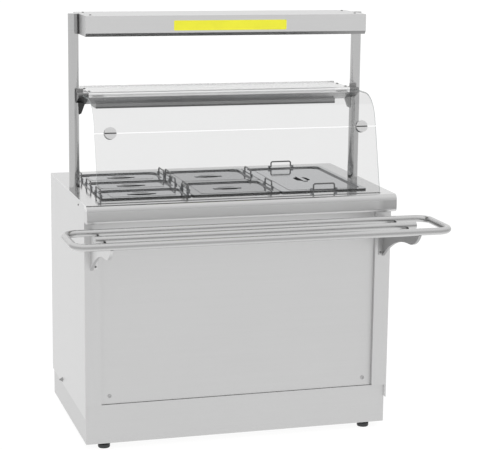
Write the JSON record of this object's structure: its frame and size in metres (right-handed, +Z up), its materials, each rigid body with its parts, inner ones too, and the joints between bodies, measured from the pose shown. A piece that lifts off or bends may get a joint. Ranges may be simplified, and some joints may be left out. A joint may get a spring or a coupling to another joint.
{
  "type": "steam table unit",
  "caption": "Stainless hot-food steam table with lidded gastronorm pans, curved guard glass, shelves on round posts, and a tubular tray slide.",
  "frame": {"origin": "on the floor, under the middle of the unit's bounding box", "axes": "+X along the front to the customer's right, +Y from the customer side to the operator side, +Z up"},
  "size_m": [1.335, 1.021, 1.5134],
  "materials": {
    "stainless": "satin brushed stainless sheet",
    "shelf_steel": "satin stainless, folded",
    "polished_tube": "polished stainless tube",
    "pan_steel": "polished stainless pressing",
    "wire_steel": "polished wire",
    "clamp_steel": "satin turned steel",
    "fastener_steel": "zinc and stainless screws",
    "guard_glass": "clear toughened glass",
    "quartz": "frosted quartz and ceramic ends",
    "heater_sheath": "oxidised heater sheath",
    "valve_brass": "plain brass",
    "foot_plastic": "dark moulded plastic",
    "black_plastic": "moulded black plastic",
    "ivory_plastic": "moulded plastic",
    "switch_red": "gloss red plastic",
    "lever_red": "red enamel"
  },
  "bodies": {
    "cabinet": {"base_frame": "stainless", "plinth": "stainless", "left_side_panel": "stainless", "right_side_panel": "stainless", "front_panel": "stainless", "fasteners": "fastener_steel", "cabinet_floor": "stainless", "rear_panel": "stainless", "thermostat_body": "ivory_plastic", "terminal_block": "ivory_plastic", "countertop": "stainless", "water_bath": "stainless", "pan_rails": "stainless", "heating_elements": "heater_sheath", "drain_valve_body": "valve_brass", "left_post": "polished_tube", "right_post": "polished_tube", "top_shelf": "stainless", "heat_lamps": "quartz", "middle_shelf": "shelf_steel", "shelf_light": "shelf_steel", "shelf_light_tube": "quartz", "shelf_brackets": "shelf_steel", "lower_glass": "guard_glass", "upper_glass": "guard_glass", "glass_clamps": "clamp_steel", "tray_rails": "polished_tube", "tray_brackets": "stainless", "cable_gland": "black_plastic"},
    "thermostat_knob": {"thermostat_knob": "black_plastic"},
    "power_switch": {"power_switch": "switch_red"},
    "drain_lever": {"drain_lever": "lever_red"},
    "foot_front_left": {"foot_front_left": "foot_plastic"},
    "foot_front_right": {"foot_front_right": "foot_plastic"},
    "foot_rear_left": {"foot_rear_left": "foot_plastic"},
    "foot_rear_right": {"foot_rear_right": "foot_plastic"},
    "pan_third_front": {"pan_third_front": "pan_steel"},
    "lid_third_front": {"lid_third_front": "pan_steel"},
    "bail_third_front_left": {"bail_third_front_left": "wire_steel"},
    "bail_third_front_right": {"bail_third_front_right": "wire_steel"},
    "pan_third_middle": {"pan_third_middle": "pan_steel"},
    "lid_third_middle": {"lid_third_middle": "pan_steel"},
    "bail_third_middle_left": {"bail_third_middle_left": "wire_steel"},
    "bail_third_middle_right": {"bail_third_middle_right": "wire_steel"},
    "pan_third_rear": {"pan_third_rear": "pan_steel"},
    "lid_third_rear": {"lid_third_rear": "pan_steel"},
    "bail_third_rear_left": {"bail_third_rear_left": "wire_steel"},
    "bail_third_rear_right": {"bail_third_rear_right": "wire_steel"},
    "pan_half_front": {"pan_half_front": "pan_steel"},
    "lid_half_front": {"lid_half_front": "pan_steel"},
    "bail_half_front_left": {"bail_half_front_left": "wire_steel"},
    "bail_half_front_right": {"bail_half_front_right": "wire_steel"},
    "pan_half_rear": {"pan_half_rear": "pan_steel"},
    "lid_half_rear": {"lid_half_rear": "pan_steel"},
    "bail_half_rear_left": {"bail_half_rear_left": "wire_steel"},
    "bail_half_rear_right": {"bail_half_rear_right": "wire_steel"},
    "pan_full": {"pan_full": "pan_steel"},
    "lid_full": {"lid_full": "pan_steel"},
    "bail_full_front": {"bail_full_front": "wire_steel"},
    "bail_full_rear": {"bail_full_rear": "wire_steel"}
  },
  "joints": [
    {"name": "thermostat_turn", "type": "hinge", "parent": "cabinet", "child": "thermostat_knob", "pos_m": [0.3, 0.4835, 0.77], "axis": [0, 1, 0], "range_deg": [0, 270]},
    {"name": "power_switch_rock", "type": "hinge", "parent": "cabinet", "child": "power_switch", "pos_m": [0.205, 0.4785, 0.77], "axis": [1, 0, 0], "range_deg": [-18, 0]},
    {"name": "drain_valve_turn", "type": "hinge", "parent": "cabinet", "child": "drain_lever", "pos_m": [-0.38, 0.4835, 0.575], "axis": [0, 1, 0], "range_deg": [0, 90]},
    {"name": "foot_front_left_turn", "type": "hinge", "parent": "cabinet", "child": "foot_front_left", "pos_m": [-0.489, -0.122, 0.02], "axis": [0, 0, 1], "continuous": true},
    {"name": "foot_front_right_turn", "type": "hinge", "parent": "cabinet", "child": "foot_front_right", "pos_m": [0.489, -0.122, 0.02], "axis": [0, 0, 1], "continuous": true},
    {"name": "foot_rear_left_turn", "type": "hinge", "parent": "cabinet", "child": "foot_rear_left", "pos_m": [-0.489, 0.453, 0.02], "axis": [0, 0, 1], "continuous": true},
    {"name": "foot_rear_right_turn", "type": "hinge", "parent": "cabinet", "child": "foot_rear_right", "pos_m": [0.489, 0.453, 0.02], "axis": [0, 0, 1], "continuous": true},
    {"name": "pan_third_front_lift", "type": "slide", "parent": "cabinet", "child": "pan_third_front", "axis": [0, 0, 1], "range_m": [0, 0.12]},
    {"name": "lid_third_front_lift", "type": "slide", "parent": "pan_third_front", "child": "lid_third_front", "axis": [0, 0, 1], "range_m": [0, 0.06]},
    {"name": "bail_third_front_left_fold", "type": "hinge", "parent": "pan_third_front", "child": "bail_third_front_left", "pos_m": [-0.483, -0.012, 0.8947], "axis": [0, 1, 0], "range_deg": [0, 90]},
    {"name": "bail_third_front_right_fold", "type": "hinge", "parent": "pan_third_front", "child": "bail_third_front_right", "pos_m": [-0.171, -0.012, 0.8947], "axis": [0, -1, 0], "range_deg": [0, 90]},
    {"name": "pan_third_middle_lift", "type": "slide", "parent": "cabinet", "child": "pan_third_middle", "axis": [0, 0, 1], "range_m": [0, 0.12]},
    {"name": "lid_third_middle_lift", "type": "slide", "parent": "pan_third_middle", "child": "lid_third_middle", "axis": [0, 0, 1], "range_m": [0, 0.06]},
    {"name": "bail_third_middle_left_fold", "type": "hinge", "parent": "pan_third_middle", "child": "bail_third_middle_left", "pos_m": [-0.483, 0.165, 0.8947], "axis": [0, 1, 0], "range_deg": [0, 90]},
    {"name": "bail_third_middle_right_fold", "type": "hinge", "parent": "pan_third_middle", "child": "bail_third_middle_right", "pos_m": [-0.171, 0.165, 0.8947], "axis": [0, -1, 0], "range_deg": [0, 90]},
    {"name": "pan_third_rear_lift", "type": "slide", "parent": "cabinet", "child": "pan_third_rear", "axis": [0, 0, 1], "range_m": [0, 0.12]},
    {"name": "lid_third_rear_lift", "type": "slide", "parent": "pan_third_rear", "child": "lid_third_rear", "axis": [0, 0, 1], "range_m": [0, 0.06]},
    {"name": "bail_third_rear_left_fold", "type": "hinge", "parent": "pan_third_rear", "child": "bail_third_rear_left", "pos_m": [-0.483, 0.342, 0.8947], "axis": [0, 1, 0], "range_deg": [0, 90]},
    {"name": "bail_third_rear_right_fold", "type": "hinge", "parent": "pan_third_rear", "child": "bail_third_rear_right", "pos_m": [-0.171, 0.342, 0.8947], "axis": [0, -1, 0], "range_deg": [0, 90]},
    {"name": "pan_half_front_lift", "type": "slide", "parent": "cabinet", "child": "pan_half_front", "axis": [0, 0, 1], "range_m": [0, 0.12]},
    {"name": "lid_half_front_lift", "type": "slide", "parent": "pan_half_front", "child": "lid_half_front", "axis": [0, 0, 1], "range_m": [0, 0.06]},
    {"name": "bail_half_front_left_fold", "type": "hinge", "parent": "pan_half_front", "child": "bail_half_front_left", "pos_m": [-0.156, 0.03225, 0.8947], "axis": [0, 1, 0], "range_deg": [0, 90]},
    {"name": "bail_half_front_right_fold", "type": "hinge", "parent": "pan_half_front", "child": "bail_half_front_right", "pos_m": [0.156, 0.03225, 0.8947], "axis": [0, -1, 0], "range_deg": [0, 90]},
    {"name": "pan_half_rear_lift", "type": "slide", "parent": "cabinet", "child": "pan_half_rear", "axis": [0, 0, 1], "range_m": [0, 0.12]},
    {"name": "lid_half_rear_lift", "type": "slide", "parent": "pan_half_rear", "child": "lid_half_rear", "axis": [0, 0, 1], "range_m": [0, 0.06]},
    {"name": "bail_half_rear_left_fold", "type": "hinge", "parent": "pan_half_rear", "child": "bail_half_rear_left", "pos_m": [-0.156, 0.29775, 0.8947], "axis": [0, 1, 0], "range_deg": [0, 90]},
    {"name": "bail_half_rear_right_fold", "type": "hinge", "parent": "pan_half_rear", "child": "bail_half_rear_right", "pos_m": [0.156, 0.29775, 0.8947], "axis": [0, -1, 0], "range_deg": [0, 90]},
    {"name": "pan_full_lift", "type": "slide", "parent": "cabinet", "child": "pan_full", "axis": [0, 0, 1], "range_m": [0, 0.12]},
    {"name": "lid_full_lift", "type": "slide", "parent": "pan_full", "child": "lid_full", "axis": [0, 0, 1], "range_m": [0, 0.06]},
    {"name": "bail_full_front_fold", "type": "hinge", "parent": "pan_full", "child": "bail_full_front", "pos_m": [0.327, -0.0935, 0.8947], "axis": [-1, 0, 0], "range_deg": [0, 90]},
    {"name": "bail_full_rear_fold", "type": "hinge", "parent": "pan_full", "child": "bail_full_rear", "pos_m": [0.327, 0.4235, 0.8947], "axis": [1, 0, 0], "range_deg": [0, 90]}
  ]
}
